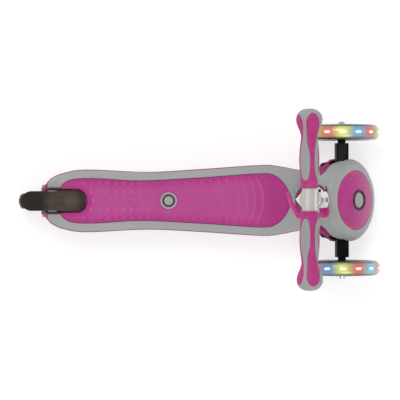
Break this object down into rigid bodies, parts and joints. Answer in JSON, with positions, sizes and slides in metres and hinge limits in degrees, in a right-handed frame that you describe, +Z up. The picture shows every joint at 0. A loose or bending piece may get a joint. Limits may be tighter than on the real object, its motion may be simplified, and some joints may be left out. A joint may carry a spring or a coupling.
{
  "type": "kick scooter",
  "caption": "Three-wheeled child's kick scooter with lean-to-steer front truck, folding telescopic column, T handlebar with bulb grips, light-up front wheels and a foot brake.",
  "frame": {"origin": "on the ground under the middle of the scooter's bounding box", "axes": "+X forward to the front wheels, +Y to the rider's left, +Z up"},
  "size_m": [0.5695, 0.2486, 0.683],
  "materials": {
    "magenta_plastic": "satin moulded",
    "magenta_gloss": "semi-gloss moulded",
    "grey_plastic": "fine moulded grain",
    "pad_rubber": "soft satin, raised dots and ridges",
    "dark_plastic": "satin",
    "black_plastic": "fine moulded grain",
    "black_rubber": "matte",
    "black_tyre": "matte",
    "clear_tyre": "clear cast polyurethane",
    "light_ring": "clear with coloured lamps",
    "zinc_steel": "zinc plated",
    "chrome_bolt": "polished",
    "bracket_metal": "satin painted",
    "white_tube": "satin pearl white",
    "silver_tube": "brushed",
    "white_plastic": "satin",
    "grip_magenta": "soft satin",
    "grip_grey": "soft satin"
  },
  "bodies": {
    "deck": {"deck_body": "magenta_plastic", "deck_rim": "grey_plastic", "deck_pad": "pad_rubber", "deck_badge": "grey_plastic", "deck_screws": "zinc_steel", "pod_chassis": "magenta_plastic", "pod_cover": "grey_plastic", "nose_disc": "magenta_gloss", "lock_collar": "dark_plastic", "kingpin": "zinc_steel", "bump_stops": "black_rubber", "steering_spring": "zinc_steel", "fold_bracket": "bracket_metal", "bracket_screws": "zinc_steel", "fold_pin": "zinc_steel", "fold_pin_nut": "zinc_steel", "rear_axle": "zinc_steel", "rear_axle_nut": "zinc_steel", "rear_spacers": "zinc_steel", "brake_pin": "zinc_steel", "brake_spring": "zinc_steel", "lock_spring": "zinc_steel", "button_spring": "zinc_steel"},
    "truck": {"truck_beam": "black_plastic", "truck_bushes": "white_plastic", "axle_bolt_left": "chrome_bolt", "axle_bolt_right": "chrome_bolt", "magnet_cores": "zinc_steel"},
    "wheel_left": {"tyre_left": "clear_tyre", "light_ring_left": "light_ring", "hub_left": "grey_plastic", "bearings_left": "zinc_steel"},
    "wheel_right": {"tyre_right": "clear_tyre", "light_ring_right": "light_ring", "hub_right": "grey_plastic", "bearings_right": "zinc_steel"},
    "wheel_rear": {"rear_tyre": "black_tyre", "rear_hub": "grey_plastic", "rear_bearings": "zinc_steel"},
    "brake": {"brake_fender": "black_plastic", "brake_plate": "zinc_steel"},
    "steering_lock": {"lock_button": "grey_plastic"},
    "column": {"fold_knuckle": "bracket_metal", "lower_tube": "white_tube", "clamp_collar": "magenta_plastic", "tube_bush": "white_plastic", "clamp_bolt": "zinc_steel", "clamp_nut": "magenta_gloss"},
    "clamp_lever": {"clamp_lever": "magenta_gloss"},
    "fold_button": {"fold_button": "magenta_gloss"},
    "handlebar": {"stem_tube": "silver_tube", "cross_tube": "white_tube", "grip_core_left": "grip_magenta", "grip_core_right": "grip_magenta", "grip_sleeve_left": "grip_grey", "grip_sleeve_right": "grip_grey"}
  },
  "joints": [
    {"name": "truck_steer", "type": "hinge", "parent": "deck", "child": "truck", "pos_m": [0.22425, 0, 0.0605], "axis": [0.7193, 0, 0.6947], "range_deg": [-12, 12], "stiffness_Nm_per_rad": 80},
    {"name": "wheel_left_spin", "type": "hinge", "parent": "truck", "child": "wheel_left", "pos_m": [0.22425, 0.107, 0.0605], "axis": [0, 1, 0], "continuous": true},
    {"name": "wheel_right_spin", "type": "hinge", "parent": "truck", "child": "wheel_right", "pos_m": [0.22425, -0.107, 0.0605], "axis": [0, 1, 0], "continuous": true},
    {"name": "wheel_rear_spin", "type": "hinge", "parent": "deck", "child": "wheel_rear", "pos_m": [-0.24475, 0, 0.04], "axis": [0, 1, 0], "continuous": true},
    {"name": "brake_press", "type": "hinge", "parent": "deck", "child": "brake", "pos_m": [-0.19325, 0, 0.0706], "axis": [0, -1, 0], "range_deg": [0, 3], "stiffness_Nm_per_rad": 20, "springref_deg": -2.86, "deforming": ["brake_spring"]},
    {"name": "steering_lock_press", "type": "slide", "parent": "deck", "child": "steering_lock", "axis": [-0.7193, 0, -0.6947], "range_m": [0, 0.003], "stiffness_N_per_m": 800, "springref_m": -0.001, "deforming": ["lock_spring"]},
    {"name": "column_fold", "type": "hinge", "parent": "deck", "child": "column", "pos_m": [0.16895, 0, 0.125], "axis": [0, -1, 0], "range_deg": [0, 78]},
    {"name": "clamp_lever_swing", "type": "hinge", "parent": "column", "child": "clamp_lever", "pos_m": [0.09797, -0.0216, 0.4037], "axis": [-0.184, 0, 0.9829], "range_deg": [0, 100]},
    {"name": "fold_button_press", "type": "slide", "parent": "deck", "child": "fold_button", "axis": [0, 1, 0], "range_m": [0, 0.004], "stiffness_N_per_m": 800, "springref_m": -0.001, "deforming": ["button_spring"]},
    {"name": "handlebar_height", "type": "slide", "parent": "column", "child": "handlebar", "axis": [-0.184, 0, 0.9829], "range_m": [0, 0.1]}
  ]
}
